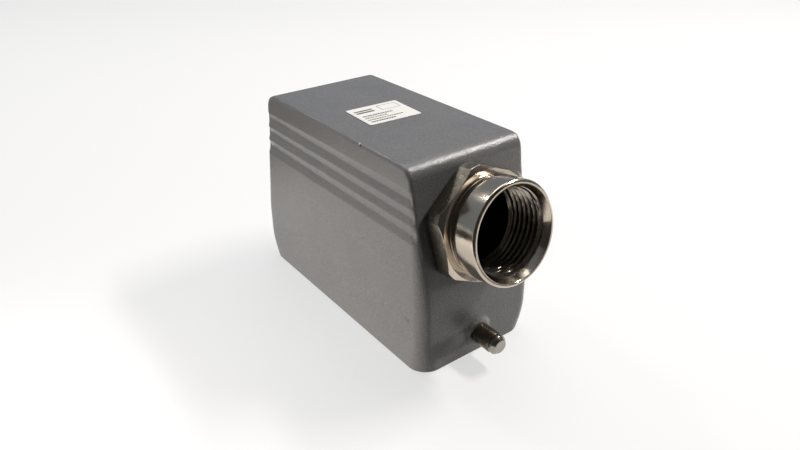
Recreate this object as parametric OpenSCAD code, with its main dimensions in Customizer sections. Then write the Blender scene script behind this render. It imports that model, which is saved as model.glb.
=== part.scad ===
// Heavy duty rectangular connector: die-cast hood with an angled cable entry,
// two locking pegs with turning rollers, and a 16-pole male screw-terminal insert.
// Origin: centre of the mating rim. +X points to the cable entry, +Z away from the mating side.

/* [Hood] */
// From the fixing holes to the hood's end at its widest level
hood_reach = 7.25; // [7:0.05:9]
// From the fixing holes to the hood's long side at its widest level
hood_side = 8; // [7.8:0.1:10]
// Height from the mating rim to the top
hood_h = 64.2; // [63:0.2:76]
// Thickness of the cast walls
wall = 2.8; // [2.4:0.1:3.2]
// Lean of the short ends above the widest level, in degrees
end_lean = 9.7; // [8:0.1:11]
// Lean of the long sides above the widest level, in degrees
side_lean = 1.2; // [0.4:0.1:1.8]
// Radius along the top edges of the short ends
top_r = 4.5; // [4:0.1:5.5]
// Radius along the top edges of the long sides, and of the upright corners that meet them
side_edge_r = 1.2; // [1:0.1:1.8]
// Radius of the upright corners at the widest level
corner_r = 3.8; // [3.6:0.1:5]
// Radius of the upright corners at the mating rim
rim_corner_r = 6.2; // [5:0.1:7]
// How far the rim is drawn in from the widest level
rim_inset = 0.6; // [0.2:0.1:1]

/* [Grip flutes] */
// Number of flutes along each long side
flute_count = 3; // [1:1:4]
// Distance from flute to flute
flute_pitch = 5; // [4.8:0.1:5.6]
// Width of one flute
flute_w = 4.6; // [3:0.1:4.7]
// Depth of one flute
flute_depth = 0.75; // [0.4:0.05:0.9]
// Distance from the top face down to the first flute
flute_drop = 8.8; // [8:0.1:10]

/* [Cable entry] */
// Height of the entry's centre on the outer face of the end
entry_z = 44; // [42:0.2:45]
// From the spigot to the flats of the hexagon, the width the seal lies under
hex_ledge = 2.15; // [2:0.05:2.4]
// Diameter to which the hexagon's corners are turned
hex_corner_d = 35.2; // [34:0.2:36]
// Thickness of the hexagon
hex_h = 5.6; // [5:0.1:7]
// Turn of the hexagon when it is tight, in degrees
hex_turn = 8; // [0:1:59]
// Outer diameter of the collar in front of the hexagon
collar_d = 29.6; // [29:0.1:29.9]
// Length of the collar
collar_h = 10.1; // [8:0.1:13]
// Diameter of the lead-in at the mouth
mouth_d = 27.2; // [26.8:0.1:27.6]
// Diameter over the crests of the female thread
thread_d = 23.6; // [22:0.1:24]
// Length of the female thread
thread_l = 11; // [8:0.5:12]
// Bore behind the female thread
throat_d = 22; // [19:0.1:22]
// Diameter of the spigot that screws into the hood
spigot_d = 27.7; // [27:0.1:28]
// Length of the spigot
spigot_l = 8.4; // [7:0.2:10]

/* [Locking pegs] */
// Height of the pegs above the rim
peg_z = 8; // [7.4:0.1:8.6]
// Diameter of the roller
roller_d = 6.4; // [6.4:0.1:7]
// Length of the roller
roller_l = 6.6; // [5:0.1:9]
// Diameter of the fixed pin that carries the roller
pin_d = 3.6; // [3:0.1:4]
// Diameter of the pin's head
head_d = 6; // [5.6:0.1:6]
// Length of the pin's head
head_l = 2.1; // [1.6:0.1:2.6]
// Height of the cast pad under the roller
pad_h = 0.9; // [0.6:0.1:1.4]

/* [Insert] */
// Number of contacts in one row
row_count = 8; // [7:1:12]
// Distance from contact to contact in a row
contact_pitch = 7.5; // [7:0.1:9]
// Distance between the two rows
row_gap = 13; // [12.8:0.1:16]
// Diameter of a contact pin
contact_d = 2.5; // [2:0.1:3]
// From the last contact to the end of the shroud
shroud_end = 6.75; // [6:0.25:9]
// From a row of contacts to the side of the shroud
shroud_side = 6; // [5:0.1:6.4]
// From the end of the shroud to the fixing holes
fix_reach = 5.75; // [5.6:0.05:7]
// From a row of contacts to the line of fixing holes
fix_side = 7; // [6.8:0.1:8]
// Height of the seat that the insert is screwed against
seat_z = 15; // [14:0.5:18]
// Height of the block that holds the screw terminals
terminal_h = 18; // [17:0.5:20]
// Diameter of the threads of the fixing and earth screws
m4_d = 4; // [3.6:0.1:4.2]
// Length of the fixing screws under the head
fixing_screw_l = 12; // [9:0.5:14]
// Diameter of the fixing screws' heads
fixing_head_d = 6.6; // [6:0.1:7]

/* [Label] */
// Size of the label along the hood's length
label_x = 15.2; // [12:0.2:18]
// Size of the label along the hood's width
label_y = 18.5; // [14:0.2:22]
// Slant at which the label was stuck on, in degrees
label_turn = -3; // [-6:0.5:6]
// From the middle of the top to the label's middle, towards the cable entry
label_along = 0.3; // [-4:0.1:4]
// From the middle of the top to the label's middle, across the hood
label_across = -0.6; // [-2:0.1:2]

/* [Fits] */
// Gap on each side between pieces that are assembled and fixed
fit_gap = 0.05; // [0.03:0.01:0.08]
// Radial gap between the roller and its pin
running_gap = 0.06; // [0.03:0.01:0.09]
// Play of the roller along its pin, at each end
end_play = 0.15; // [0.1:0.05:0.3]

/* [Hidden] */
eps = 0.01;
corner_steps = 6;
edge_steps = 7;

// The contacts set the shroud, the shroud sets the fixing pattern, and that sets the hood
shroud_l = (row_count - 1) * contact_pitch + 2 * shroud_end;
shroud_w = row_gap + 2 * shroud_side;
fix_l = shroud_l + 2 * fix_reach;
fix_w = row_gap + 2 * fix_side;
hood_l = fix_l + 2 * hood_reach;
hood_w = fix_w + 2 * hood_side;

// The hood's form: levels of rounded rectangles, widest between belly_low and belly_high
belly_low = 11;
belly_high = 19;
lean_blend_r = 45;
lean_top_z = belly_high + lean_blend_r * sin(end_lean);
lean_top_x = hood_l / 2 - lean_blend_r * (1 - cos(end_lean));
function end_x(z) = lean_top_x - (z - lean_top_z) * tan(end_lean);
function side_y(z) = hood_w / 2 - (z - belly_high) * tan(side_lean);
function rim_draw(z) = rim_inset * pow(1 - z / belly_low, 2);

// Sheet, seal and thread sizes that follow from the pieces around them
seal_h = 0.8;
seal_w = hex_ledge - 0.45;
hex_af = spigot_d + 2 * hex_ledge;
hex_z = seal_h;
collar_z = hex_z + hex_h;
mouth_z = collar_z + collar_h;
lead_in_l = 2.6;
thread_start_z = mouth_z - lead_in_l;
entry_boss_r = spigot_d / 2 + 3;
entry_boss_l = spigot_l - wall + 1;

// Pegs, along X from the widest part of the end
pad_x = hood_l / 2 - rim_draw(peg_z) + pad_h;
pad_r = roller_d / 2 + 0.7;
roller_x = pad_x + end_play;
head_x = roller_x + roller_l + end_play;
rivet_h = 1;

// Insert, from the seat down to the pins and up to the terminals
plate_t = 2;
plate_z = seat_z - plate_t;
floor_z = plate_z - 1.4;
shroud_z = 2.6;
shroud_t = 1.7;
plate_in_x = shroud_l / 2 - 1.2;
plate_out_x = fix_l / 2 + 3.6;
plate_half_w = fix_w / 2 + 3.4;
terminal_top = seat_z + terminal_h;
terminal_l = shroud_l - 2.6;
terminal_side = 6.7;
terminal_w = row_gap + 2 * terminal_side;
clamp_l = 4.8;
clamp_w = 5.4;
clamp_h = 10;
clamp_z = seat_z + 2.2;
screw_z = clamp_z + 5.6;
m3_r = 1.5;
m4_r = m4_d / 2;
m4_core_r = m4_r - 0.35;
fix_boss_r = 4.1;
fix_boss_h = 17;
fix_hole_l = fixing_screw_l + 1;
earth_x = fix_l / 2 - 0.8;
saddle_w = 7;
saddle_t = 2.4;
earth_head_r = 3.4;
washer_h = 1;
screw_head_h = 2.6;
label_t = 0.2;

// ---- Helpers ----

// Places children at the four corners of a rectangle
module at_corners(l, w) {
    for (sx = [-1, 1], sy = [-1, 1])
        translate([sx * l / 2, sy * w / 2, 0]) children();
}

// Outline of one level: a rounded rectangle as corner_steps + 1 points per corner, anticlockwise
function level_points(level) =
    let (z = level[0], half_l = level[1], half_w = level[2], r = level[3])
    [for (q = [0 : 3], i = [0 : corner_steps])
        let (a = q * 90 + i * 90 / corner_steps,
            cx = (q == 0 || q == 3 ? 1 : -1) * (half_l - r),
            cy = (q < 2 ? 1 : -1) * (half_w - r))
        [cx + r * cos(a), cy + r * sin(a), z]];

// Solid lofted through a stack of levels, each [z, half length, half width, corner radius]
module loft(levels) {
    n = 4 * (corner_steps + 1);
    last = (len(levels) - 1) * n;
    polyhedron(
        points = [for (level = levels) each level_points(level)],
        faces = concat(
            [[for (i = [0 : n - 1]) i]],
            [for (k = [0 : len(levels) - 2], i = [0 : n - 1])
                let (a = k * n + i, b = k * n + (i + 1) % n)
                [a, a + n, b + n, b]],
            [[for (i = [n - 1 : -1 : 0]) last + i]]
        )
    );
}

// Closed form of the hood, drawn in by inset on every side, with its top edges rounded by end_r
// along the short ends and by side_r along the long sides
module hood_form(inset, end_r, side_r) {
    r = max(corner_r - inset, 1);
    rim_r = max(rim_corner_r - inset, 1);
    top_corner_r = max(side_edge_r - inset, 1);
    edge_z = hood_h - inset - end_r;
    edge_x = end_x(edge_z) - inset / cos(end_lean) - end_r * (1 / cos(end_lean) - 1);
    side_z = hood_h - inset - side_r;
    function side_draw(z) =
        let (rise = min(max(z - side_z, 0), side_r))
        side_r - sqrt(side_r * side_r - rise * rise);
    loft(concat(
        [for (z = [0, belly_low / 3, belly_low * 2 / 3, belly_low])
            [z, hood_l / 2 - rim_draw(z) - inset, hood_w / 2 - rim_draw(z) - inset,
                r + (rim_r - r) * pow(1 - z / belly_low, 1.5)]],
        [for (a = [0, end_lean / 2, end_lean])
            let (z = belly_high + lean_blend_r * sin(a))
            [z, hood_l / 2 - lean_blend_r * (1 - cos(a)) - inset, side_y(z) - inset, r]],
        [for (i = [0 : edge_steps])
            let (a = end_lean + (90 - end_lean) * i / edge_steps, z = edge_z + end_r * sin(a))
            [z, edge_x - end_r * (1 - cos(a)), side_y(z) - inset / cos(side_lean) - side_draw(z), top_corner_r]]
    ));
}

// Turns the local +Z axis into the entry's own axis, square to the leaning end
module on_entry() {
    translate([end_x(entry_z), 0, entry_z])
        rotate([0, 90 - end_lean, 0]) children();
}

// Turns the local +Z axis outwards along X; rear = true gives the other end
module on_end(rear) {
    mirror([rear ? 1 : 0, 0, 0])
        rotate([0, 90, 0]) children();
}

// Ring about Z
module ring(r_out, r_in, h) {
    difference() {
        cylinder(h = h, r = r_out, $fn = 64);
        translate([0, 0, -1]) cylinder(h = h + 2, r = r_in, $fn = 64);
    }
}

// Places children at each contact of a row; side is -1 or 1
module along_row(side) {
    for (i = [0 : row_count - 1])
        translate([(i - (row_count - 1) / 2) * contact_pitch, side * row_gap / 2, 0]) children();
}

// ---- Hood ----

module flutes() {
    r = (pow(flute_w / 2, 2) + pow(flute_depth, 2)) / (2 * flute_depth);
    for (i = [0 : flute_count - 1], side = [-1, 1]) {
        z = hood_h - flute_drop - i * flute_pitch;
        translate([-hood_l / 2, side * (side_y(z) + r - flute_depth), z])
            rotate([0, 90, 0]) cylinder(h = hood_l, r = r, $fn = 96);
    }
}

// Screw bosses that grow out of the cavity's corners
module fixing_bosses() {
    translate([0, 0, seat_z]) {
        at_corners(fix_l, fix_w)
            cylinder(h = fix_boss_h, r = fix_boss_r, $fn = 48);
        for (sx = [-1, 1], sy = [-1, 1])
            translate([sx * fix_l / 2 - fix_boss_r, sy * (fix_w / 2 + 4) - 4, 0])
                cube([2 * fix_boss_r, 8, fix_boss_h]);
    }
}

module hood_cavity() {
    difference() {
        hood_form(wall, 2, 2);
        fixing_bosses();
        on_entry()
            translate([0, 0, -entry_boss_l - wall])
                cylinder(h = entry_boss_l + wall, r = entry_boss_r, $fn = 64);
    }
}

module hood_shell() {
    color([0.48, 0.48, 0.47])
    difference() {
        union() {
            difference() {
                hood_form(0, top_r, side_edge_r);
                flutes();
                hood_cavity();
            }
            for (rear = [false, true])
                on_end(rear)
                    translate([-peg_z, 0, hood_l / 2 - wall / 2])
                        cylinder(h = pad_x - hood_l / 2 + wall / 2, r = pad_r, $fn = 64);
        }
        translate([0, 0, seat_z - 1])
            at_corners(fix_l, fix_w)
                cylinder(h = fix_hole_l, r = m4_core_r, $fn = 32);
        on_entry()
            translate([0, 0, -spigot_l - 4])
                cylinder(h = spigot_l + 4 + 2 * wall, r = spigot_d / 2 + fit_gap, $fn = 96);
        for (rear = [false, true])
            on_end(rear)
                translate([-peg_z, 0, hood_l / 2 - 3 * wall])
                    cylinder(h = 6 * wall, r = pin_d / 2 + fit_gap, $fn = 48);
    }
}

// ---- Cable entry ----

// Hexagon with turned corners and a chamfer towards the collar
module adapter_hexagon() {
    corner_r = hex_corner_d / 2;
    intersection() {
        translate([0, 0, hex_z - 1])
            rotate([0, 0, hex_turn])
                cylinder(h = hex_h + 2, r = hex_af / 2 / cos(30), $fn = 6);
        union() {
            translate([0, 0, hex_z])
                cylinder(h = hex_h - 0.9, r = corner_r, $fn = 96);
            translate([0, 0, collar_z - 0.9])
                cylinder(h = 0.9, r1 = corner_r, r2 = corner_r - 1.5, $fn = 96);
        }
    }
}

module cable_entry_adapter() {
    collar_r = collar_d / 2;
    neck_r = collar_r - 0.9;
    chamfer = 0.4;
    color([0.72, 0.68, 0.60])
    on_entry()
    difference() {
        union() {
            adapter_hexagon();
            translate([0, 0, -spigot_l])
                cylinder(h = spigot_l + hex_z + 1, r = spigot_d / 2, $fn = 96);
            translate([0, 0, collar_z - 1])
                cylinder(h = 2, r = neck_r, $fn = 96);
            translate([0, 0, collar_z + 1])
                cylinder(h = 0.8, r1 = neck_r, r2 = collar_r, $fn = 96);
            translate([0, 0, collar_z + 1.8])
                cylinder(h = collar_h - 1.8 - chamfer, r = collar_r, $fn = 96);
            translate([0, 0, mouth_z - chamfer])
                cylinder(h = chamfer, r1 = collar_r, r2 = collar_r - chamfer, $fn = 96);
        }
        // throat, female thread and lead-in cone
        translate([0, 0, -spigot_l - 1])
            cylinder(h = spigot_l + mouth_z, r = throat_d / 2, $fn = 96);
        translate([0, 0, thread_start_z - thread_l])
            cylinder(h = thread_l + 1, r = thread_d / 2, $fn = 96);
        translate([0, 0, thread_start_z])
            cylinder(h = mouth_z - thread_start_z + eps, r1 = thread_d / 2 + 0.7, r2 = mouth_d / 2, $fn = 96);
    }
}

module entry_seal_ring() {
    color([0.08, 0.08, 0.08])
    on_entry()
        ring(spigot_d / 2 + fit_gap + seal_w, spigot_d / 2 + fit_gap, seal_h);
}

// ---- Locking pegs ----

// Fixed pin, riveted over inside the wall
module locking_pin(rear) {
    head_r = head_d / 2;
    pin_r = pin_d / 2;
    inner_x = hood_l / 2 - rim_draw(peg_z) - wall;
    color([0.62, 0.62, 0.60])
    on_end(rear)
        translate([-peg_z, 0, 0])
            rotate_extrude($fn = 64)
                polygon([
                    [0, inner_x - rivet_h], [pin_r + 0.3, inner_x - rivet_h], [pin_r + 0.9, inner_x - 0.5],
                    [pin_r + 0.9, inner_x - fit_gap], [pin_r, inner_x - fit_gap], [pin_r, head_x],
                    [head_r, head_x], [head_r, head_x + head_l / 2], [head_r - 1.1, head_x + head_l],
                    [0, head_x + head_l]
                ]);
}

module locking_pin_front() locking_pin(false);
module locking_pin_rear() locking_pin(true);

module pin_roller(rear) {
    roller_r = roller_d / 2;
    bore_r = pin_d / 2 + running_gap;
    color([0.55, 0.54, 0.50])
    on_end(rear)
        translate([-peg_z, 0, roller_x])
            rotate_extrude($fn = 64)
                polygon([
                    [bore_r, 0], [roller_r - 0.3, 0], [roller_r, 0.3], [roller_r, roller_l - 0.3],
                    [roller_r - 0.3, roller_l], [bore_r, roller_l]
                ]);
}

module pin_roller_front() pin_roller(false);
module pin_roller_rear() pin_roller(true);

// ---- Label ----

module rating_label() {
    color([0.88, 0.86, 0.80])
    translate([label_along, label_across, hood_h])
        rotate([0, 0, label_turn])
            translate([-label_x / 2, -label_y / 2, 0])
                cube([label_x, label_y, label_t]);
}

// ---- Insert ----

// Moulded body whose shroud surrounds the contact pins
module contact_carrier() {
    inner_l = shroud_l - 2 * shroud_t;
    inner_w = shroud_w - 2 * shroud_t;
    key_w = 6;
    color([0.80, 0.79, 0.75])
    difference() {
        union() {
            translate([-shroud_l / 2, -shroud_w / 2, shroud_z])
                cube([shroud_l, shroud_w, seat_z - shroud_z]);
            // guide ribs on the long sides
            for (sx = [-1, 1], sy = [-1, 1])
                translate([sx * (shroud_l / 2 - 1.2 * contact_pitch) - 1, sy * shroud_w / 2 - 0.8, shroud_z + 1])
                    cube([2, 1.6, seat_z - shroud_z - 1]);
        }
        // chamber round the pins, with a keyed corner
        translate([-inner_l / 2, -inner_w / 2, shroud_z - 1])
            cube([inner_l - key_w, inner_w, floor_z - shroud_z + 1]);
        translate([inner_l / 2 - key_w - 1, -inner_w / 2 + 2, shroud_z - 1])
            cube([key_w + 1, inner_w - 4, floor_z - shroud_z + 1]);
        // sockets of the contacts
        for (side = [-1, 1])
            along_row(side)
                translate([0, 0, floor_z - 1])
                    cylinder(h = seat_z - floor_z + 2, r = contact_d / 2 + 0.5 + fit_gap, $fn = 32);
        // notches at the ends in which the earth plates and their blades sit
        for (sx = [-1, 1]) {
            translate([sx > 0 ? plate_in_x : -plate_in_x - shroud_l, -shroud_w, plate_z - fit_gap])
                cube([shroud_l, 2 * shroud_w, seat_z]);
        }
    }
}

// Block with a pocket for each screw terminal, open to the wires above and the screws beside
module terminal_carrier() {
    color([0.76, 0.75, 0.71])
    difference() {
        translate([-terminal_l / 2, -terminal_w / 2, seat_z])
            cube([terminal_l, terminal_w, terminal_h]);
        for (side = [-1, 1])
            along_row(side) {
                translate([-clamp_l / 2 - fit_gap, -clamp_w / 2 - fit_gap, clamp_z])
                    cube([clamp_l + 2 * fit_gap, clamp_w + 2 * fit_gap, terminal_top]);
                translate([0, 0, seat_z - 1])
                    cylinder(h = clamp_z - seat_z + 2, r = contact_d / 2 + 0.5 + fit_gap, $fn = 32);
                translate([0, 0, screw_z])
                    rotate([-90 * side, 0, 0])
                        cylinder(h = terminal_w, r = m3_r + 0.8, $fn = 32);
            }
        // relief groove between the rows
        translate([-terminal_l / 2 - 1, -1.5, terminal_top - 6])
            cube([terminal_l + 2, 3, 7]);
    }
}

// Turned pins, each with the clamp block of its screw terminal
module contact_pins(side) {
    pin_r = contact_d / 2;
    color([0.80, 0.78, 0.72])
    along_row(side)
        difference() {
            union() {
                rotate_extrude($fn = 32)
                    polygon([
                        [0, shroud_z + 1.2], [pin_r - 0.6, shroud_z + 1.2], [pin_r, shroud_z + 2.2],
                        [pin_r, floor_z], [pin_r + 0.5, floor_z], [pin_r + 0.5, clamp_z + 1],
                        [0, clamp_z + 1]
                    ]);
                translate([-clamp_l / 2, -clamp_w / 2, clamp_z])
                    cube([clamp_l, clamp_w, clamp_h]);
            }
            translate([0, 0, clamp_z + 2])
                cylinder(h = clamp_h, r = 1.6, $fn = 32);
            translate([0, 0, screw_z])
                rotate([-90 * side, 0, 0])
                    cylinder(h = clamp_w, r = m3_r + fit_gap, $fn = 32);
        }
}

module contact_pins_left() contact_pins(-1);
module contact_pins_right() contact_pins(1);

// Slotted screws that press on the wires
module terminal_screws(side) {
    head_y = clamp_w / 2;
    color([0.70, 0.70, 0.68])
    along_row(side)
        translate([0, 0, screw_z])
            rotate([-90 * side, 0, 0])
                difference() {
                    union() {
                        translate([0, 0, 0.9])
                            cylinder(h = head_y, r = m3_r, $fn = 32);
                        translate([0, 0, head_y])
                            cylinder(h = 1.6, r = m3_r + 0.6, $fn = 32);
                    }
                    translate([-3, -0.35, head_y + 0.8])
                        cube([6, 0.7, 2]);
                }
}

module terminal_screws_left() terminal_screws(-1);
module terminal_screws_right() terminal_screws(1);

// Bent strips that keep the screw tips from cutting the wires
module wire_guards(side) {
    guard_t = 0.4;
    color([0.72, 0.72, 0.70])
    along_row(side)
        translate([-1, side * (0.9 - guard_t / 2) - guard_t / 2, clamp_z + 2])
            cube([2, guard_t, clamp_h + 1.6]);
}

module wire_guards_left() wire_guards(-1);
module wire_guards_right() wire_guards(1);

// Plate at one end: seat for two fixing screws, earth blade and earth terminal
module earth_plate(rear) {
    blade_w = 5;
    blade_t = 1.2;
    color([0.74, 0.74, 0.72])
    mirror([rear ? 1 : 0, 0, 0])
    difference() {
        union() {
            translate([plate_in_x + fit_gap, -plate_half_w, plate_z])
                cube([plate_out_x - plate_in_x, 2 * plate_half_w, plate_t]);
            translate([shroud_l / 2 + fit_gap, -blade_w / 2, shroud_z + 1.5])
                cube([blade_t, blade_w, plate_z - shroud_z]);
        }
        for (sy = [-1, 1])
            translate([fix_l / 2, sy * fix_w / 2, plate_z - 1])
                cylinder(h = plate_t + 2, r = m4_r + 0.25, $fn = 32);
        translate([earth_x, 0, plate_z - 1])
            cylinder(h = plate_t + 2, r = m4_r + fit_gap, $fn = 32);
    }
}

module earth_plate_front() earth_plate(false);
module earth_plate_rear() earth_plate(true);

// Square saddle that clamps the earth wire
module earth_clamp(rear) {
    color([0.72, 0.70, 0.62])
    mirror([rear ? 1 : 0, 0, 0])
    translate([earth_x, 0, seat_z])
        difference() {
            translate([-saddle_w / 2, -saddle_w / 2, 0]) cube([saddle_w, saddle_w, saddle_t]);
            translate([0, 0, -1]) cylinder(h = saddle_t + 2, r = m4_r + fit_gap, $fn = 32);
            // grip grooves across the underside
            for (y = [-saddle_w / 2 + 0.8, saddle_w / 2 - 1.6])
                translate([-saddle_w, y, -1]) cube([2 * saddle_w, 0.8, 1.6]);
        }
}

module earth_clamp_front() earth_clamp(false);
module earth_clamp_rear() earth_clamp(true);

// Slotted screw with its head up
module slotted_screw(shank_l, shank_r, head_r, head_h) {
    difference() {
        union() {
            cylinder(h = shank_l, r = shank_r, $fn = 48);
            translate([0, 0, shank_l]) cylinder(h = head_h, r = head_r, $fn = 48);
        }
        translate([-head_r - 1, -0.5, shank_l + head_h / 2])
            cube([2 * head_r + 2, 1, head_h]);
    }
}

module earth_screw(rear) {
    color([0.70, 0.70, 0.68])
    mirror([rear ? 1 : 0, 0, 0])
    translate([earth_x, 0, plate_z - 1])
        slotted_screw(plate_t + 1 + saddle_t, m4_r, earth_head_r, screw_head_h);
}

module earth_screw_front() earth_screw(false);
module earth_screw_rear() earth_screw(true);

module fixing_screws() {
    color([0.70, 0.70, 0.68])
    at_corners(fix_l, fix_w)
        translate([0, 0, plate_z - washer_h + fixing_screw_l])
            mirror([0, 0, 1])
                slotted_screw(fixing_screw_l, m4_core_r - fit_gap, fixing_head_d / 2, screw_head_h);
}

module fixing_spring_washers() {
    color([0.60, 0.60, 0.58])
    at_corners(fix_l, fix_w)
        translate([0, 0, plate_z - washer_h])
            difference() {
                ring(fixing_head_d / 2 - 0.1, m4_core_r + 0.2, washer_h);
                rotate([12, 0, 0]) translate([1, -0.3, -2]) cube([4, 0.6, 6]);
            }
}

hood_shell();
cable_entry_adapter();
entry_seal_ring();
locking_pin_front();
locking_pin_rear();
pin_roller_front();
pin_roller_rear();
rating_label();
contact_carrier();
terminal_carrier();
contact_pins_left();
contact_pins_right();
terminal_screws_left();
terminal_screws_right();
wire_guards_left();
wire_guards_right();
earth_plate_front();
earth_plate_rear();
earth_screw_front();
earth_screw_rear();
earth_clamp_front();
earth_clamp_rear();
fixing_screws();
fixing_spring_washers();
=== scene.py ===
"""Heavy duty rectangular connector.

A cast hood with an angled cable entry, a roller peg at each short end and a screw-terminal insert."""

import math

import bpy
import numpy as np
from mathutils import Matrix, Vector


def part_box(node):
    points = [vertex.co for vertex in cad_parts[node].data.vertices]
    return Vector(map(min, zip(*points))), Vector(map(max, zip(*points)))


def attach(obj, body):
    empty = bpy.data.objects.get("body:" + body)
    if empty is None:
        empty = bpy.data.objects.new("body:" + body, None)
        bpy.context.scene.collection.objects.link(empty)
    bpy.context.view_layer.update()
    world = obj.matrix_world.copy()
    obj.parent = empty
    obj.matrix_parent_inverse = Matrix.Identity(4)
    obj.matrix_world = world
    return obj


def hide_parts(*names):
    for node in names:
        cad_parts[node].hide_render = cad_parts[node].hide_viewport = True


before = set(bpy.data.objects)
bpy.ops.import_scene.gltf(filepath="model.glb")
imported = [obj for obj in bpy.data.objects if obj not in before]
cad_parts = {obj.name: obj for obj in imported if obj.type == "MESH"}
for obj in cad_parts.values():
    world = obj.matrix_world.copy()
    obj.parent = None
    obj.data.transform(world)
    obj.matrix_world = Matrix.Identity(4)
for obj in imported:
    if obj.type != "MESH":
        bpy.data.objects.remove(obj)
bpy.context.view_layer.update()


# ---- Camera ----
# The connector stands on its mating rim, seen from the cable end and a little above,
# with its long side to the left and the cable entry to the right.

view_turn, view_rise, view_roll = math.radians(53.59), math.radians(27.0), math.radians(-0.70)
back = np.array([
    math.sin(view_turn) * math.cos(view_rise),
    -math.cos(view_turn) * math.cos(view_rise),
    math.sin(view_rise),
])
across = np.cross(-back, [0, 0, 1])
across /= np.linalg.norm(across)
upward = np.cross(across, -back)
camera_x = math.cos(view_roll) * across + math.sin(view_roll) * upward
camera_y = -math.sin(view_roll) * across + math.cos(view_roll) * upward

lens = bpy.data.cameras.new("camera")
lens.sensor_width = 36
lens.lens = 31.42
lens.shift_y = -0.0275
lens.clip_start = 0.005
camera = bpy.data.objects.new("camera", lens)
placement = np.eye(4)
placement[:3, 0], placement[:3, 1], placement[:3, 2] = camera_x, camera_y, back
placement[:3, 3] = (0.168677, -0.118791, 0.137485)
camera.matrix_world = Matrix(placement)
bpy.context.scene.collection.objects.link(camera)
bpy.context.scene.camera = camera

# ---- Floor and light ----
# A pale table top in a dim, slightly blue room. A broad lamp hangs above and behind the hood, a small
# one and a narrow one draw the lines on its top edges, and two low strips light the long side and
# rake over the cable end.


def linear(code):
    """sRGB hex code to linear colour: c/12.92 below 0.04045, else ((c + 0.055)/1.055)^2.4."""
    value = np.array([int(code[i:i + 2], 16) for i in (1, 3, 5)]) / 255
    value = np.where(value <= 0.04045, value / 12.92, ((value + 0.055) / 1.055) ** 2.4)
    return (*[float(channel) for channel in value], 1.0)


def add(tree, kind, inputs=None, **settings):
    """A node of that kind, with its settings, and each input set to a value or linked to a socket."""
    made = tree.nodes.new(kind)
    for name, value in settings.items():
        setattr(made, name, value)
    for name, value in (inputs or {}).items():
        if isinstance(value, bpy.types.NodeSocket):
            tree.links.new(value, made.inputs[name])
        else:
            made.inputs[name].default_value = value
    return made


def put_mesh(name, points, faces):
    """A mesh object at the origin, from points in metres and lists of corner numbers."""
    mesh = bpy.data.meshes.new(name)
    mesh.from_pydata(points.reshape(-1, 3), [], faces)
    mesh.update()
    made = bpy.data.objects.new(name, mesh)
    bpy.context.scene.collection.objects.link(made)
    return made


floor_reach = 3.0
floor = put_mesh(
    "floor",
    floor_reach * np.array([[-1, -1, 0], [1, -1, 0], [1, 1, 0], [-1, 1, 0]], float),
    [(0, 1, 2, 3)],
)

# the sheet is nearly white to the viewer and in what metal mirrors, and dimmer to the light it bounces
table_top = bpy.data.materials.new("pale_table_top")
table_top.use_nodes = True
tree = table_top.node_tree
tree.nodes.clear()
seen = add(tree, "ShaderNodeLightPath")
mirrored = add(tree, "ShaderNodeMath", {
    0: seen.outputs["Is Glossy Ray"], 1: seen.outputs["Is Transmission Ray"]}, operation="MAXIMUM")
pale_ray = add(tree, "ShaderNodeMath", {
    0: seen.outputs["Is Camera Ray"], 1: mirrored.outputs["Value"]}, operation="MAXIMUM")
lit = add(tree, "ShaderNodeBsdfDiffuse", {"Color": linear("#5F5C57")})
pale = add(tree, "ShaderNodeBsdfDiffuse", {"Color": linear("#EDEBE8")})
glow = add(tree, "ShaderNodeEmission", {"Color": (1, 1, 1, 1), "Strength": 1.0})
dimmed = add(tree, "ShaderNodeMixShader", {0: 0.62, 1: pale.outputs[0], 2: glow.outputs[0]})
either = add(tree, "ShaderNodeMixShader", {
    0: pale_ray.outputs["Value"], 1: lit.outputs[0], 2: dimmed.outputs[0]})
add(tree, "ShaderNodeOutputMaterial", {"Surface": either.outputs[0]})
floor.data.materials.append(table_top)

# dark cloth that only gloss and metal mirror: a flag beside the viewer, and strips on the table
# that end the pale sheet to the left, in front and to the right
black_cloth = bpy.data.materials.new("black_flag_cloth")
black_cloth.use_nodes = True
tree = black_cloth.node_tree
tree.nodes.clear()
matt = add(tree, "ShaderNodeBsdfDiffuse", {"Color": linear("#3A3A3A")})
add(tree, "ShaderNodeOutputMaterial", {"Surface": matt.outputs[0]})
cloth_z = 0.001
for name, turn, near, far, half, rise in (
        ("dark_flag_viewer", -32, 0.16, 0.16, 0.16, 0.20), ("dark_strip_left", 217, 0.130, 0.60, 0.40, 0.0),
        ("dark_strip_front", 0, 0.118, 0.16, 0.11, 0.0), ("dark_strip_right", 25, 0.40, 0.90, 0.50, 0.0)):
    out = np.array([math.cos(math.radians(turn)), math.sin(math.radians(turn))])
    sideways = np.array([-out[1], out[0]]) * half
    foot, head = out * near, out * far
    flag = put_mesh(name, np.array([
        [*(foot + sideways), cloth_z], [*(foot - sideways), cloth_z],
        [*(head - sideways), cloth_z + rise], [*(head + sideways), cloth_z + rise]]), [(0, 1, 2, 3)])
    flag.data.materials.append(black_cloth)
    flag.visible_camera = flag.visible_diffuse = flag.visible_shadow = False

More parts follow.
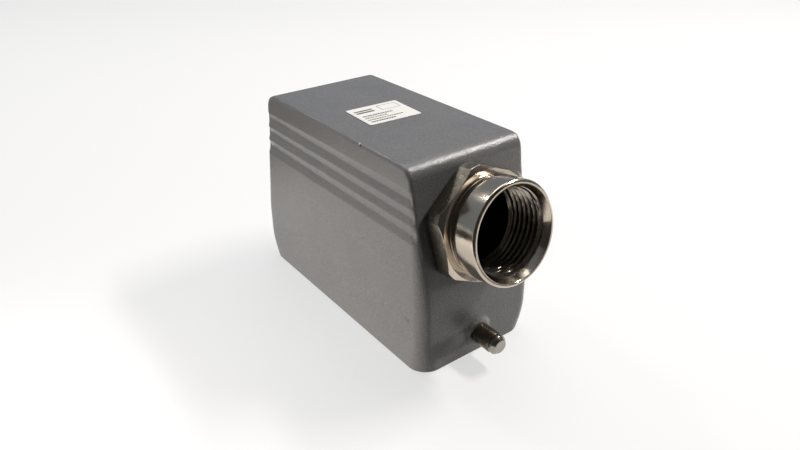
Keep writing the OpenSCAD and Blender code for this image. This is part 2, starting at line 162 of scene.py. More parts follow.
# the room is white to the viewer; what gloss mirrors of it is a dim blue-grey, and nearly dark
# behind the viewer
world = bpy.data.worlds.new("studio")
bpy.context.scene.world = world
world.use_nodes = True
tree = world.node_tree
tree.nodes.clear()
direction = add(tree, "ShaderNodeTexCoord").outputs["Generated"]
rise = add(tree, "ShaderNodeSeparateXYZ", {"Vector": direction})
overhead = add(tree, "ShaderNodeMapRange", {"Value": rise.outputs["Z"], "From Min": 0.0, "From Max": 0.9})
wall_tone = add(tree, "ShaderNodeMix", {
    "Factor": overhead.outputs["Result"], "A": linear("#7C858E"), "B": linear("#868D96")}, data_type="RGBA")
ahead = add(tree, "ShaderNodeVectorMath", {0: direction, 1: (1.0, -0.10, 0.10)}, operation="DOT_PRODUCT")
behind_viewer = add(tree, "ShaderNodeMapRange", {
    "Value": ahead.outputs["Value"], "From Min": -0.05, "From Max": 0.5})
room_tone = add(tree, "ShaderNodeMix", {
    "Factor": behind_viewer.outputs["Result"], "A": wall_tone.outputs["Result"], "B": linear("#1A1A1A")},
    data_type="RGBA")
seen = add(tree, "ShaderNodeLightPath")
room = add(tree, "ShaderNodeBackground", {"Color": room_tone.outputs["Result"], "Strength": 1.0})
pale = add(tree, "ShaderNodeBackground", {"Color": (1, 1, 1, 1), "Strength": 1.0})
shown = add(tree, "ShaderNodeMixShader", {
    0: seen.outputs["Is Camera Ray"], 1: room.outputs[0], 2: pale.outputs[0]})
add(tree, "ShaderNodeOutputWorld", {"Surface": shown.outputs[0]})


def put_lamp(name, place, aim, size, power, colour):
    """A soft lamp at place, in metres, that points at aim; size is its width and height."""
    light = bpy.data.lights.new(name, "AREA")
    light.shape = "RECTANGLE"
    light.size, light.size_y = size
    light.energy = power
    light.color = linear(colour)[:3]
    lamp = bpy.data.objects.new(name, light)
    away = np.array(place, float) - np.array(aim, float)
    away /= np.linalg.norm(away)
    side = np.cross([0, 0, 1], away)
    side /= np.linalg.norm(side)
    matrix = np.eye(4)
    matrix[:3, 0], matrix[:3, 1], matrix[:3, 2], matrix[:3, 3] = side, np.cross(away, side), away, place
    lamp.matrix_world = Matrix(matrix)
    lamp.visible_camera = False
    bpy.context.scene.collection.objects.link(lamp)
    return lamp


put_lamp("top_lamp", (-0.25, 0.20, 0.85), (0, 0, 0.03), (0.5, 0.5), 2.4, "#FFFFFF")
put_lamp("back_lamp", (-0.525, -0.117, 0.624), (0, 0, 0.05), (0.08, 0.08), 0.8, "#FFFFFF")
put_lamp("edge_lamp", (0.17, 0.54, 0.66), (0, 0, 0.05), (0.30, 0.07), 5.8, "#FFFAF4")
left_strip = put_lamp("left_strip", (0.01, -0.17, 0.016), (0.01, 0, 0.012), (0.07, 0.026), 0.21, "#FFF8F0")
left_strip.visible_glossy = False
right_strip = put_lamp("right_strip", (0.125, 0.26, 0.02), (0.046, 0, 0.02), (0.10, 0.03), 0.50, "#FFFCF8")
right_strip.visible_glossy = False

# ---- Hood ----
# The die-cast aluminium hood, powder coated grey: leaning short ends, softly rounded edges,
# three grip flutes along each long side, and a flat mating rim. All sizes in millimetres.

MM = 0.001
low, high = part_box("hood_shell")
hood_w, hood_h = (high.y - low.y) / MM, high.z / MM
hood_l = 92.0  # without the pads under the pegs, which the box includes
wall = 2.8
end_lean, side_lean = math.radians(9.7), math.radians(1.2)
belly_low, belly_high, lean_r = 11.0, 19.0, 45.0
lean_top_z = belly_high + lean_r * math.sin(end_lean)
rim_inset, rim_corner_r, corner_r, top_r, side_edge_r = 0.6, 6.2, 3.8, 4.5, 1.2
flute_drop, flute_pitch, flute_w, flute_depth = 8.8, 5.0, 4.9, 0.9
peg_z, pad_r, pad_x = 8.0, 3.9, high.x / MM


def smooth(low_end, high_end, value):
    """3t^2 - 2t^3 of t = (value - low_end)/(high_end - low_end), held between 0 and 1."""
    t = np.clip((value - low_end) / (high_end - low_end), 0, 1)
    return t * t * (3 - 2 * t)


def hood_level(z, inset, end_r, side_r):
    """Half length, half width and corner radius of the hood's outline at height z, drawn in by inset.

    Below belly_low: half size - rim_inset (1 - z/belly_low)^2. Above belly_high the ends follow
    lean_r (1 - cos a) and then z tan(lean). A top edge is centre + sqrt(r^2 - (z - edge_z)^2)."""
    edge_z, side_z = hood_h - inset - end_r, hood_h - inset - side_r

    def end_wall(z):
        """Half length at height z, before the rim's inset."""
        bend = np.minimum(np.arcsin(np.clip((z - belly_high) / lean_r, 0, 1)), end_lean)
        return (hood_l / 2 - lean_r * (1 - np.cos(bend))
                - np.maximum(z - lean_top_z, 0) * math.tan(end_lean))

    draw = rim_inset * np.clip(1 - z / belly_low, 0, 1) ** 2 + inset
    half_w = hood_w / 2 - draw - np.maximum(z - belly_high, 0) * math.tan(side_lean)
    half_w -= side_r - np.sqrt(side_r ** 2 - np.clip(z - side_z, 0, side_r) ** 2)
    arc_x = end_wall(np.array(edge_z)) - (inset + end_r) / math.cos(end_lean)
    arc = np.sqrt(end_r ** 2 - np.clip(z - edge_z, 0, end_r) ** 2)
    half_l = np.where(z > edge_z + end_r * math.sin(end_lean), arc_x + arc, end_wall(z) - draw)
    belly_r, top_corner_r = max(corner_r - inset, 1), max(side_edge_r - inset, 1)
    r = belly_r + (max(rim_corner_r - inset, 1) - belly_r) * np.clip(1 - z / belly_low, 0, 1) ** 1.5
    r += (top_corner_r - belly_r) * np.clip((z - lean_top_z) / (edge_z - lean_top_z), 0, 1)
    return half_l, half_w, r


def outline_columns(end_steps, side_steps, corner_steps):
    """Columns round a rounded rectangle: two factors and the turn of the outward normal.

    A point is (across_l (l - r) + r cos t, across_w (w - r) + r sin t)."""
    end = np.linspace(-1, 1, end_steps + 1)[1:-1]
    side = np.linspace(1, -1, side_steps + 1)[1:-1]
    arc = np.linspace(0, math.pi / 2, corner_steps + 1)
    ones = np.ones_like(arc)
    across_l = np.concatenate([
        np.ones_like(end), ones, side, -ones, -np.ones_like(end), -ones, -side, ones])
    across_w = np.concatenate([
        end, ones, np.ones_like(side), ones, -end, -ones, -np.ones_like(side), -ones])
    turn = np.concatenate([
        0 * end, arc, 0 * side + math.pi / 2, arc + math.pi / 2, 0 * end + math.pi,
        arc + math.pi, 0 * side + 1.5 * math.pi, arc + 1.5 * math.pi])
    return across_l, across_w, turn


def grid_faces(rows, columns, start=0, wrap_rows=False):
    """Quads between neighbouring rows of a grid whose columns go round and close."""
    row = np.arange(rows if wrap_rows else rows - 1)[:, None]
    column = np.arange(columns)[None, :]
    ahead, over = (column + 1) % columns, (row + 1) % rows
    quads = np.stack([
        row * columns + column, row * columns + ahead, over * columns + ahead, over * columns + column], -1)
    return (quads.reshape(-1, 4) + start).tolist()


def dress(piece, material, body, sharp=35.0):
    """Smooth shading with sharp edges kept above an angle in degrees, a material, and a body to ride on."""
    piece.data.shade_smooth()
    piece.data.set_sharp_from_angle(angle=math.radians(sharp))
    piece.data.materials.append(material)
    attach(piece, body)
    return piece


# levels of the shell, from the ceiling of the cavity down, round the rim and up over the top
rim_r = 0.45
bend = np.radians(np.linspace(0, 90, 6))
inner_top = hood_h - wall
inner_arc = np.radians(np.linspace(90, 0, 7))
outer_arc = np.radians(np.linspace(0, 46, 14))
side_arc = np.radians(np.linspace(4, 90, 18))
inner_z = np.concatenate([
    np.full(3, inner_top), inner_top - 2 + 2 * np.sin(inner_arc), np.linspace(inner_top - 4, 1.5, 26),
    rim_r * (1 - np.cos(bend[::-1]))])
inner_draw = np.concatenate([
    [12, 5, 1], np.zeros(7 + 26), -rim_r * (1 - np.sin(bend[::-1]))])
outer_z = np.concatenate([
    rim_r * (1 - np.cos(bend)),
    np.linspace(0.8, 15, 30), np.linspace(16, 41, 20), np.linspace(41.6, 59.6, 61),
    hood_h - top_r + top_r * np.sin(outer_arc), hood_h - side_edge_r + side_edge_r * np.sin(side_arc),
    np.full(4, hood_h)])
outer_draw = np.concatenate([
    rim_r * (1 - np.sin(bend)), np.zeros(30 + 20 + 61 + 14 + 18), [0.4, 1.5, 5, 12]])
across_l, across_w, turn = outline_columns(72, 48, 14)


def hood_skin(z, draw, inset, end_r, side_r):
    """Grid of the skin: every level's outline, drawn in further by draw."""
    half_l, half_w, r = hood_level(z, inset, end_r, side_r)
    half_l, half_w, r = (half_l - draw)[:, None], (half_w - draw)[:, None], r[:, None]
    return np.stack(np.broadcast_arrays(
        across_l * (half_l - r) + r * np.cos(turn),
        across_w * (half_w - r) + r * np.sin(turn),
        z[:, None]), -1)


inside = hood_skin(inner_z, inner_draw, wall, 2.0, 2.0)
outside = hood_skin(outer_z, outer_draw, 0, top_r, side_edge_r)

# grip flutes: depth * (1 - |2t|) with t = (z - z_i)/w within half a width, the crest and the foot rounded
# by the mean of nine copies a little apart, running out round the upright corners
groove = np.zeros_like(outer_z)
for flute in range(3):
    part = (outer_z - (hood_h - flute_drop - flute * flute_pitch)) / flute_w
    groove += flute_depth * np.clip(1 - np.abs(2 * (part[:, None] + np.linspace(-0.1, 0.1, 9))), 0, 1).mean(1)
groove = groove[:, None] * smooth(0.45, 0.95, np.abs(np.sin(turn)))[None, :]
outside[..., 0] -= groove * np.cos(turn)
outside[..., 1] -= groove * np.sin(turn)

# cast pads under the pegs: the wall is lifted to the pad's plane inside pad_r, with a soft foot
pad = smooth(pad_r + 1.1, pad_r - 0.1, np.hypot(outside[..., 1], outside[..., 2] - peg_z))
pad *= (np.abs(np.cos(turn)) > 0.999)[None, :]
outside[..., 0] += pad * (np.sign(outside[..., 0]) * pad_x - outside[..., 0])

shell = np.concatenate([inside, outside])
rows, columns = shell.shape[:2]
faces = grid_faces(rows, columns)
faces += [list(range(columns))[::-1], list(range((rows - 1) * columns, rows * columns))]
hood = put_mesh("hood_casting", shell * MM, faces)

# the bored hole of the cable entry, square to the leaning end
entry_z = 44.0
entry_x = float(hood_level(np.array(entry_z), 0, top_r, side_edge_r)[0])
entry_axis = np.array([math.cos(end_lean), 0, math.sin(end_lean)])
entry_down = np.array([math.sin(end_lean), 0, -math.cos(end_lean)])
entry_side = np.array([0.0, 1.0, 0.0])


def round_entry(along, radius, angle):
    """Points at a distance along the entry's axis and a radius and angle about it, in millimetres."""
    along, radius, angle = np.broadcast_arrays(along, radius, angle)
    return (np.array([entry_x, 0, entry_z]) + along[..., None] * entry_axis
            + (radius * np.cos(angle))[..., None] * entry_down
            + (radius * np.sin(angle))[..., None] * entry_side)


spigot_r = 13.85
about = np.radians(np.arange(0, 360, 3.0))
cutter = put_mesh(
    "entry_bore",
    round_entry(np.array([-9.0, 5.0])[:, None], spigot_r + 0.05, about[None, :]) * MM,
    grid_faces(2, len(about)) + [list(range(len(about)))[::-1], list(range(len(about), 2 * len(about)))],
)
bore = hood.modifiers.new("entry_bore", "BOOLEAN")
bore.operation, bore.solver, bore.object = "DIFFERENCE", "EXACT", cutter
bpy.context.view_layer.update()
bored = bpy.data.meshes.new_from_object(hood.evaluated_get(bpy.context.evaluated_depsgraph_get()))
hood.modifiers.clear()
hood.data = bored
bpy.data.objects.remove(cutter)

# Polyester powder coat on die-cast aluminium, sprayed and baked: satin, with a fine orange peel
# that breaks every highlight into grains, and a slight cloudiness.
coat = bpy.data.materials.new("grey_powder_coat")
coat.use_nodes = True
tree = coat.node_tree
tree.nodes.clear()
place = add(tree, "ShaderNodeTexCoord").outputs["Object"]
cloud = add(tree, "ShaderNodeTexNoise", {"Vector": place, "Scale": 1000 / 14, "Detail": 3.0})
speck = add(tree, "ShaderNodeTexNoise", {"Vector": place, "Scale": 1000 / 0.35, "Detail": 2.0})
tone = add(tree, "ShaderNodeMix", {
    "Factor": cloud.outputs["Fac"], "A": linear("#6F6F71"), "B": linear("#7C7A78")}, data_type="RGBA")
grain = add(tree, "ShaderNodeMapRange", {
    "Value": speck.outputs["Fac"], "From Min": 0.3, "From Max": 0.7, "To Min": 0.82, "To Max": 1.16})
colour = add(tree, "ShaderNodeVectorMath", {0: tone.outputs["Result"], "Scale": grain.outputs["Result"]},
             operation="SCALE")

# small marks of use, each an ellipsoid about its place, in millimetres: coat chipped to metal on the
# long edge with a dark spot beside it, a hair across the front edge, a rubbed smudge low on the side
coat_tone = colour.outputs["Vector"]
for spot, reach, mark_code, share in (
        ((16.2, -20.1, 63.9), (0.40, 0.40, 0.40), "#D6D3CD", 0.9),
        ((17.1, -20.5, 63.6), (0.50, 0.40, 0.40), "#1E1C1A", 0.7),
        ((38.1, 0.3, 63.0), (1.1, 0.15, 1.1), "#24211F", 0.8),
        ((39.4, -21.5, 17.8), (1.5, 0.9, 1.0), "#4E4A47", 0.4)):
    off = add(tree, "ShaderNodeVectorMath", {
        0: place, 1: tuple(value * MM for value in spot)}, operation="SUBTRACT")
    ratio = add(tree, "ShaderNodeVectorMath", {
        0: off.outputs["Vector"], 1: tuple(value * MM for value in reach)}, operation="DIVIDE")
    ball = add(tree, "ShaderNodeVectorMath", {0: ratio.outputs["Vector"]}, operation="LENGTH")
    mark = add(tree, "ShaderNodeMapRange", {
        "Value": ball.outputs["Value"], "From Min": 0.6, "From Max": 1.1, "To Min": share, "To Max": 0.0})
    marked = add(tree, "ShaderNodeMix", {
        "Factor": mark.outputs["Result"], "A": coat_tone, "B": linear(mark_code)}, data_type="RGBA")
    coat_tone = marked.outputs["Result"]
peel = add(tree, "ShaderNodeTexNoise", {
    "Vector": place, "Scale": 1000 / 0.5, "Detail": 2.0, "Roughness": 0.6})
bump = add(tree, "ShaderNodeBump", {"Height": peel.outputs["Fac"], "Strength": 0.55, "Distance": 0.0002})
shader = add(tree, "ShaderNodeBsdfPrincipled", {
    "Base Color": coat_tone, "Roughness": 0.25, "IOR": 1.5, "Normal": bump.outputs["Normal"]})
add(tree, "ShaderNodeOutputMaterial", {"Surface": shader.outputs[0]})

dress(hood, coat, "hood", 30)
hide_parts("hood_shell")

# ---- Hood's inner bosses ----
# Cast with the hood: a boss at each corner that takes a fixing screw, and a collar round the
# entry's thread that gives it its length.

fix_l, fix_w = 77.5, 27.0
seat_z, boss_r, boss_h = 15.0, 4.1, 17.0
boss_turn = np.radians(np.linspace(0, 180, 19))
boss_outline = np.concatenate([
    np.stack([boss_r * np.cos(boss_turn), -boss_r * np.sin(boss_turn)], -1),
    [[-boss_r, 4.9], [boss_r, 4.9]]])
boss_points, boss_faces = [], []
for sign_l in (-1, 1):
    for sign_w in (-1, 1):
        line = boss_outline * (sign_l, sign_w)
        line = (line[::-1] if sign_l * sign_w > 0 else line) + (sign_l * fix_l / 2, sign_w * fix_w / 2)
        count, start = len(line), sum(len(p) for p in boss_points)
        level = np.array([seat_z, seat_z + boss_h])[:, None]
        boss_points.append(np.stack(np.broadcast_arrays(line[:, 0], line[:, 1], level), -1).reshape(-1, 3))
        boss_faces += grid_faces(2, count, start)
        boss_faces += [list(range(start, start + count))[::-1], list(range(start + count, start + 2 * count))]
start = sum(len(p) for p in boss_points)
boss_points.append(round_entry(
    np.array([-6.6, -2.2, -2.2, -6.6])[:, None],
    np.array([spigot_r + 0.05, spigot_r + 0.05, spigot_r + 3, spigot_r + 3])[:, None],
    about[None, :]).reshape(-1, 3))
boss_faces += [face[::-1] for face in grid_faces(4, len(about), start, wrap_rows=True)]
bosses = put_mesh("hood_bosses", np.concatenate(boss_points) * MM, boss_faces)
dress(bosses, coat, "hood", 30)

# ---- Cable entry adapter ----
# A brass adapter, turned from hexagon bar and bright nickel plated: a female taper thread of
# 14 turns to the inch inside, a hexagon for the spanner, and a spigot screwed into the hood.

seal_h, hex_front, mouth = 0.8, 6.4, 16.5
hex_flat, hex_corner, hex_turn = 16.0, 17.6, math.radians(8)
neck_r, collar_r, lip_r = 13.9, 14.8, 13.6
crest_r, throat_r = 11.8, 11.0
thread_start, thread_end = mouth - 2.6, mouth - 13.6
pitch, thread_depth = 25.4 / 14, 1.15
angle = np.radians(np.arange(0, 360, 1.0))[None, :]


corner_steps = 5


def soften(points, reach):
    """A profile with each inner corner P replaced by (1-t)^2 A + 2t(1-t) P + t^2 B.

    A and B lie on the lines to the corners before and after, at reach from P."""
    before, corner, after = points[:-2], points[1:-1], points[2:]
    reach = np.broadcast_to(reach, len(corner))[:, None]
    a = corner + (before - corner) / np.linalg.norm(before - corner, axis=1)[:, None] * reach
    b = corner + (after - corner) / np.linalg.norm(after - corner, axis=1)[:, None] * reach
    t = np.linspace(0, 1, corner_steps)[None, :, None]
    curve = (1 - t) ** 2 * a[:, None] + 2 * t * (1 - t) * corner[:, None] + t ** 2 * b[:, None]
    return np.concatenate([points[:1], curve.reshape(-1, 2), points[-1:]])


# bore and thread: radius = crest + depth * clipped triangle wave of (along/pitch - angle/2pi)
along = np.concatenate([
    np.linspace(-8.4, thread_end - 0.3, 6), np.linspace(thread_end, thread_start + 0.6, 100)])[:, None]
wave = 1 - np.abs(2 * ((along / pitch - angle / (2 * math.pi)) % 1) - 1)
groove = thread_depth * np.clip((wave - 0.1) / 0.75, 0, 1)
groove *= smooth(thread_end - 0.1, thread_end + 2.2, along)
groove *= smooth(thread_start + 0.8, thread_start + 0.1, along)
shoulder = throat_r + (crest_r - throat_r) * smooth(thread_end - 0.2, thread_end + 0.3, along)
cone = lip_r - (mouth - along) * (lip_r - 12.4) / 2.6
bore_r = np.maximum(shoulder + groove, np.where(along > thread_start - 0.8, cone, 0))
bore_along = np.broadcast_to(along, bore_r.shape)

# lead-in cone, lip, collar and neck
turned = soften(np.array([
    [thread_start + 0.7, lip_r - (mouth - thread_start - 0.7) * (lip_r - 12.4) / 2.6], [mouth, lip_r],
    [mouth, collar_r - 0.5], [mouth - 0.5, collar_r], [8.9, collar_r], [7.6, neck_r], [hex_front, neck_r],
    [hex_front, 15.2]]), [0.14, 0.25, 0.25, 0.9, 0.5, 0.3])
turned_along = np.broadcast_to(turned[:, :1], (len(turned), angle.size))
turned_r = np.broadcast_to(turned[:, 1:], (len(turned), angle.size))

# hexagon: radius = min(flat/cos(angle from the flat's middle), turned corner), with a turned chamfer in front
from_flat = (angle - hex_turn) % math.radians(60) - math.radians(30)
edge = np.minimum(hex_flat / np.cos(from_flat), hex_corner)[0]
trim = 0.14


def chamfer_at(radius):
    """Height of the hexagon's front: hex_front - 0.6 (radius - 16.1) outside 16.1."""
    return hex_front - 0.6 * np.maximum(radius - 16.1, 0)


full = np.ones_like(edge)
hexagon = [
    (hex_front * full, np.minimum(edge - trim, 16.1)), (chamfer_at(edge - trim), edge - trim),
    (chamfer_at(edge) - 0.3 * trim, edge - 0.3 * trim), (chamfer_at(edge) - trim, edge),
    (3.6 * full, edge), ((seal_h + trim) * full, edge), ((seal_h + 0.3 * trim) * full, edge - 0.3 * trim),
    (seal_h * full, edge - trim), (seal_h * full, spigot_r * full), ((seal_h - 0.3) * full, spigot_r * full),
    (-8.0 * full, spigot_r * full), (-8.4 * full, (spigot_r - 0.4) * full)]
hexagon_along = np.stack([row[0] for row in hexagon])
hexagon_r = np.stack([row[1] for row in hexagon])
adapter_along = np.concatenate([bore_along, turned_along, hexagon_along])
adapter_r = np.concatenate([bore_r, turned_r, hexagon_r])
adapter = put_mesh(
    "entry_adapter", round_entry(adapter_along, adapter_r, angle) * MM,
    [face[::-1] for face in grid_faces(*adapter_r.shape, wrap_rows=True)])

# Nickel over brass, in three finishes: bright and mirror-like on the turned faces, dulled and full of
# fine scratches on the hexagon's flats where a spanner bears, its darker tone there partly painted shade,
# and darker in the thread and in the neck behind the collar, a painted shade for those recesses. The base
# colour is a warm grey, because the brass shows through.
finishes = []
for name, pale_code, deep_code, low_rough, high_rough, scratch_scale, strength in (
        ("bright_nickel_on_brass", "#CBBFAF", "#C6BAAA", 0.12, 0.22, (1, 1, 1), 0.03),
        ("scuffed_nickel_partly_painted_shade", "#988F82", "#70695F", 0.24, 0.36, (0.15, 1, 0.4), 0.6),
        ("nickel_painted_shade_in_thread", "#B7ADA0", "#8F867A", 0.16, 0.28, (1, 1, 1), 0.15)):
    nickel = bpy.data.materials.new(name)
    nickel.use_nodes = True
    tree = nickel.node_tree
    tree.nodes.clear()
    place = add(tree, "ShaderNodeTexCoord").outputs["Object"]
    ripple = add(tree, "ShaderNodeTexNoise", {"Vector": place, "Scale": 1000 / 3.5, "Detail": 3.0})
    stretched = add(tree, "ShaderNodeMapping", {"Vector": place, "Scale": scratch_scale})
    fine = add(tree, "ShaderNodeTexNoise", {
        "Vector": stretched.outputs["Vector"], "Scale": 1000 / 0.4, "Detail": 3.0})
    waves = add(tree, "ShaderNodeBump", {
        "Height": ripple.outputs["Fac"], "Strength": 0.12, "Distance": 0.0004})
    marks = add(tree, "ShaderNodeBump", {
        "Height": fine.outputs["Fac"], "Strength": strength, "Distance": 0.0001,
        "Normal": waves.outputs["Normal"]})
    worn = add(tree, "ShaderNodeMapRange", {
        "Value": ripple.outputs["Fac"], "From Min": 0.35, "From Max": 0.65, "To Min": 0.0, "To Max": 1.0})
    tone = add(tree, "ShaderNodeMix", {
        "Factor": worn.outputs["Result"], "A": linear(pale_code), "B": linear(deep_code)}, data_type="RGBA")
    rough = add(tree, "ShaderNodeMapRange", {
        "Value": ripple.outputs["Fac"], "From Min": 0.3, "From Max": 0.7,
        "To Min": low_rough, "To Max": high_rough})
    shader = add(tree, "ShaderNodeBsdfPrincipled", {
        "Base Color": tone.outputs["Result"], "Metallic": 1.0, "Roughness": rough.outputs["Result"],
        "Normal": marks.outputs["Normal"]})
    add(tree, "ShaderNodeOutputMaterial", {"Surface": shader.outputs[0]})
    finishes.append(nickel)

dress(adapter, finishes[0], "hood", 20)
adapter.data.materials.append(finishes[1])
adapter.data.materials.append(finishes[2])
# the painted-shade finish goes on the thread and the neck behind the collar, the scuffed one, partly painted
# shade, on the flats
thread_end_row = len(bore_along)
neck_row = thread_end_row + 4 * corner_steps
flats_row = thread_end_row + len(turned) + 2
by_row = np.zeros(len(adapter_r), np.int32)
by_row[:thread_end_row - 1] = 2
by_row[flats_row:flats_row + 5] = 1
by_row[neck_row:thread_end_row + len(turned) - 2] = 2
adapter.data.polygons.foreach_set("material_index", np.repeat(by_row, angle.size))
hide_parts("cable_entry_adapter")

# ---- Entry seal ring ----
# A flat ring of black nitrile rubber, squeezed between the hexagon and the hood, so that its
# edge bulges a little.

ring = np.array([
    [0, 13.9], [0.8, 13.9], [0.8, 15.3], [0.65, 15.5], [0.4, 15.58], [0.15, 15.5], [0, 15.3]])
seal = put_mesh(
    "entry_seal", round_entry(ring[:, :1], ring[:, 1:], angle) * MM,
    grid_faces(len(ring), angle.size, wrap_rows=True))

# Nitrile rubber, moulded: near black and matt, with a little dust on it.
rubber = bpy.data.materials.new("black_nitrile_rubber")
rubber.use_nodes = True
tree = rubber.node_tree
tree.nodes.clear()
place = add(tree, "ShaderNodeTexCoord").outputs["Object"]
dust = add(tree, "ShaderNodeTexNoise", {"Vector": place, "Scale": 1000 / 1.2, "Detail": 3.0})
tone = add(tree, "ShaderNodeMix", {
    "Factor": dust.outputs["Fac"], "A": linear("#141414"), "B": linear("#262524")}, data_type="RGBA")
bump = add(tree, "ShaderNodeBump", {"Height": dust.outputs["Fac"], "Strength": 0.2, "Distance": 0.0001})
shader = add(tree, "ShaderNodeBsdfPrincipled", {
    "Base Color": tone.outputs["Result"], "Roughness": 0.7, "IOR": 1.52, "Normal": bump.outputs["Normal"]})
add(tree, "ShaderNodeOutputMaterial", {"Surface": shader.outputs[0]})
dress(seal, rubber, "hood", 40)
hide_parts("entry_seal_ring")

# ---- Locking pegs ----
# A steel pin through each short end, riveted over inside, with a turned sleeve that rolls as
# the locking lever's hook rides over it.

pin_r, sleeve_r, sleeve_x, sleeve_l = 1.8, 3.2, pad_x + 0.15, 6.6
head_x, head_r, head_l = sleeve_x + sleeve_l + 0.15, 3.0, 2.1
inner_x = hood_l / 2 - rim_inset * (1 - peg_z / belly_low) ** 2 - wall

# Turned steel, ringed with fine lathe marks along the peg: the sleeve is a burnished brown, its darker
# tone partly painted shade for the dark surroundings it mirrors, and the pin's head stays bright. The marks
# are drawn at 0.6 mm, coarser than the real ones, so that they show.
steels = {}
for name, deep_code, pale_code, roughness in (
        ("sleeve_steel_with_painted_shade", "#575046", "#857C6E", 0.32),
        ("bright_pin_steel", "#8F8B82", "#B5B1A9", 0.24)):
    steel = steels[name] = bpy.data.materials.new(name)
    steel.use_nodes = True
    tree = steel.node_tree
    tree.nodes.clear()
    place = add(tree, "ShaderNodeTexCoord").outputs["Object"]
    lathe_marks = add(tree, "ShaderNodeMapping", {"Vector": place, "Scale": (1, 0.06, 0.06)})
    ridges = add(tree, "ShaderNodeTexNoise", {
        "Vector": lathe_marks.outputs["Vector"], "Scale": 1000 / 0.6, "Detail": 2.0})
    patch = add(tree, "ShaderNodeTexNoise", {"Vector": place, "Scale": 1000 / 2.0, "Detail": 3.0})
    tone = add(tree, "ShaderNodeMix", {
        "Factor": patch.outputs["Fac"], "A": linear(deep_code), "B": linear(pale_code)}, data_type="RGBA")
    bump = add(tree, "ShaderNodeBump", {"Height": ridges.outputs["Fac"], "Strength": 0.6, "Distance": 0.0001})
    shader = add(tree, "ShaderNodeBsdfPrincipled", {
        "Base Color": tone.outputs["Result"], "Metallic": 1.0, "Roughness": roughness,
        "Normal": bump.outputs["Normal"]})
    add(tree, "ShaderNodeOutputMaterial", {"Surface": shader.outputs[0]})

sleeve_profile = soften(np.array([
    [sleeve_x, pin_r + 0.06], [sleeve_x, sleeve_r - 0.3], [sleeve_x + 0.3, sleeve_r],
    [sleeve_x + sleeve_l - 0.3, sleeve_r], [sleeve_x + sleeve_l, sleeve_r - 0.3],
    [sleeve_x + sleeve_l, pin_r + 0.06]]), 0.1)
pin_profile = soften(np.array([
    [inner_x - 1.0, 0.02], [inner_x - 1.0, pin_r + 0.3], [inner_x - 0.5, pin_r + 0.9],
    [inner_x - 0.05, pin_r + 0.9], [inner_x - 0.05, pin_r], [head_x, pin_r], [head_x, head_r],
    [head_x + head_l / 2, head_r], [head_x + head_l, 2.1], [head_x + head_l, 0.02]]), 0.09)
about = np.radians(np.arange(0, 360, 3.0))[None, :]
for end, name in ((1, "front"), (-1, "rear")):
    for profile, piece, node, body, steel in (
            (sleeve_profile, "roller_sleeve", "pin_roller", f"{name}_roller",
             steels["sleeve_steel_with_painted_shade"]),
            (pin_profile, "peg_pin", "locking_pin", "hood", steels["bright_pin_steel"])):
        x, r = profile[:, :1], profile[:, 1:]
        grid = np.stack(np.broadcast_arrays(
            end * x, end * r * np.sin(about), r * np.cos(about) + peg_z), -1)
        closed = piece == "roller_sleeve"
        faces = grid_faces(len(profile), about.size, wrap_rows=closed)
        if not closed:
            last = (len(profile) - 1) * about.size
            faces += [list(range(about.size))[::-1], list(range(last, last + about.size))]
        turned_piece = put_mesh(f"{piece}_{name}", grid * MM, faces)
        dress(turned_piece, steel, body, 30)
        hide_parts(f"{node}_{name}")

# ---- Label ----
# A small label of matt white film on the hood's top, stuck on a little askew. Its print is
# only a generic layout of a frame and ruled lines.

label_l, label_w, label_t = 15.2, 18.5, 0.2
label_x, label_y, label_turn = 0.3, -0.6, math.radians(-3)
cell = 0.1
steps_l, steps_w = round(label_l / cell), round(label_w / cell)
u, v = np.meshgrid(np.linspace(-label_l / 2, label_l / 2, steps_l + 1),
                   np.linspace(-label_w / 2, label_w / 2, steps_w + 1), indexing="ij")
round_r = 0.7
du = np.maximum(np.abs(u) - (label_l / 2 - round_r), 0)
dv = np.maximum(np.abs(v) - (label_w / 2 - round_r), 0)
pull = np.maximum(du, dv) / np.maximum(np.hypot(du, dv), 1e-9)
pull = np.where((du > 0) & (dv > 0), pull, 1)
flat_u = np.sign(u) * (np.minimum(np.abs(u), label_l / 2 - round_r) + du * pull)
flat_v = np.sign(v) * (np.minimum(np.abs(v), label_w / 2 - round_r) + dv * pull)
sheet_u = flat_u * math.cos(label_turn) - flat_v * math.sin(label_turn) + label_x
sheet_v = flat_u * math.sin(label_turn) + flat_v * math.cos(label_turn) + label_y
top = np.stack([sheet_u, sheet_v, np.full_like(u, hood_h + label_t)], -1)
index = np.arange(u.size).reshape(u.shape)
cells = np.stack([index[:-1, :-1], index[1:, :-1], index[1:, 1:], index[:-1, 1:]], -1).reshape(-1, 4)
border = np.concatenate([index[:, 0], index[-1, 1:], index[-2::-1, -1], index[0, -2:0:-1]])
points = np.concatenate([top.reshape(-1, 3), top.reshape(-1, 3)[border] - (0, 0, label_t)])
skirt = np.arange(len(border)) + u.size
sides = np.stack([border, skirt, np.roll(skirt, -1), np.roll(border, -1)], -1)
label = put_mesh("rating_label_film", points * MM, cells.tolist() + sides.tolist() + [skirt[::-1].tolist()])

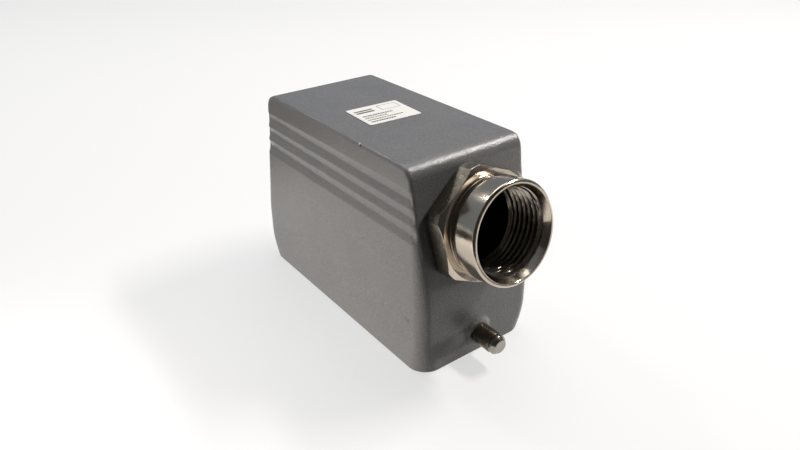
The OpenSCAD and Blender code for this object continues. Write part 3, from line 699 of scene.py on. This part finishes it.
# Polyester film with a matt white topcoat, faintly uneven, and the flat black of a thermal print.
film = bpy.data.materials.new("matt_white_label_film")
ink = bpy.data.materials.new("black_thermal_print")
for material, pale_code, deep_code, gloss in (
        (film, "#F3F1EC", "#EAE7E0", 0.5), (ink, "#2A2826", "#3A3733", 0.45)):
    material.use_nodes = True
    tree = material.node_tree
    tree.nodes.clear()
    place = add(tree, "ShaderNodeTexCoord").outputs["Object"]
    fibre = add(tree, "ShaderNodeTexNoise", {"Vector": place, "Scale": 1000 / 0.8, "Detail": 3.0})
    tone = add(tree, "ShaderNodeMix", {
        "Factor": fibre.outputs["Fac"], "A": linear(deep_code), "B": linear(pale_code)}, data_type="RGBA")
    bump = add(tree, "ShaderNodeBump", {"Height": fibre.outputs["Fac"], "Strength": 0.1, "Distance": 0.0001})
    shader = add(tree, "ShaderNodeBsdfPrincipled", {
        "Base Color": tone.outputs["Result"], "Roughness": gloss, "Normal": bump.outputs["Normal"]})
    add(tree, "ShaderNodeOutputMaterial", {"Surface": shader.outputs[0]})
dress(label, film, "hood", 30)
label.data.materials.append(ink)

# ruled lines run along the hood's width; p is across the lines and q along them, from the label's corner
p = (label_l / 2 - u[:-1, :-1] - cell / 2).ravel()
q = (v[:-1, :-1] + cell / 2 + label_w / 2).ravel()
printed = np.zeros(p.shape, bool)
for line, (first, last) in enumerate(((1.4, 12.5), (1.4, 9.5), (1.4, 14.0), (1.4, 10.5))):
    centre = 7.2 - line * 1.7
    gap = np.sin(q * 7.1 + line * 2.3) + 0.7 * np.sin(q * 17.3 + line) > -0.75
    printed |= (np.abs(p - centre) < 0.35) & (q > first) & (q < last) & gap
frame_in = (np.abs(p - 11.6) < 1.9) & (np.abs(q - 13.6) < 3.2)
printed |= (np.abs(p - 11.6) < 2.1) & (np.abs(q - 13.6) < 3.4) & ~frame_in
printed |= (np.abs(p - 11.3) < 1.2) & (np.abs(q - 4.6) < 3.2) & (np.abs(p - 11.3) > 0.35)
slots = np.zeros(len(label.data.polygons), np.int32)
slots[:len(printed)] = printed
label.data.polygons.foreach_set("material_index", slots)
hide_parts("rating_label")

# ---- Insert ----
# The male contact insert: two bodies moulded in pale grey glass-filled polycarbonate that hold
# sixteen turned and silver plated contacts with screw terminals.


def plain_finish(name, codes, feature, metallic, roughness, strength):
    """A material of two close colours clouded at a feature size in millimetres, with a bump of that size."""
    made = bpy.data.materials.new(name)
    made.use_nodes = True
    tree = made.node_tree
    tree.nodes.clear()
    place = add(tree, "ShaderNodeTexCoord").outputs["Object"]
    cloud = add(tree, "ShaderNodeTexNoise", {"Vector": place, "Scale": 1000 / feature, "Detail": 4.0})
    tone = add(tree, "ShaderNodeMix", {
        "Factor": cloud.outputs["Fac"], "A": linear(codes[0]), "B": linear(codes[1])}, data_type="RGBA")
    bump = add(tree, "ShaderNodeBump", {
        "Height": cloud.outputs["Fac"], "Strength": strength, "Distance": 0.0001})
    shader = add(tree, "ShaderNodeBsdfPrincipled", {
        "Base Color": tone.outputs["Result"], "Metallic": metallic, "Roughness": roughness,
        "Normal": bump.outputs["Normal"]})
    add(tree, "ShaderNodeOutputMaterial", {"Surface": shader.outputs[0]})
    return made


# Moulded polycarbonate: pale, satin and faintly mottled. Silver plate: soft and nearly white. Zinc
# plate: a cool grey with broad glints. Clamp brass under nickel: a warmer grey.
moulded = plain_finish("moulded_grey_polycarbonate", ("#BDBAB2", "#CBC8C0"), 0.6, 0.0, 0.45, 0.15)
silver = plain_finish("silver_plated_brass", ("#C9C3B6", "#DEDAD0"), 0.8, 1.0, 0.22, 0.08)
zinc = plain_finish("zinc_plated_steel", ("#A9ABAD", "#C4C5C4"), 1.2, 1.0, 0.34, 0.15)
clamp = plain_finish("nickel_plated_clamp_brass", ("#B7AD98", "#CFC6B3"), 1.0, 1.0, 0.30, 0.1)
for material, slot, names in (
        (moulded, "insert_plastic", ("contact_carrier", "terminal_carrier")),
        (silver, "plated_contact", ("contact_pins_left", "contact_pins_right")),
        (clamp, "clamp_brass", ("earth_clamp_front", "earth_clamp_rear")),
        (zinc, "zinc_plated_steel", (
            "terminal_screws_left", "terminal_screws_right", "wire_guards_left", "wire_guards_right",
            "earth_plate_front", "earth_plate_rear", "earth_screw_front", "earth_screw_rear",
            "fixing_screws", "fixing_spring_washers"))):
    for name in names:
        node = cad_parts[name]
        node.data.materials.clear()
        node.data.materials.append(material)

bpy.context.scene.view_settings.view_transform = "Standard"
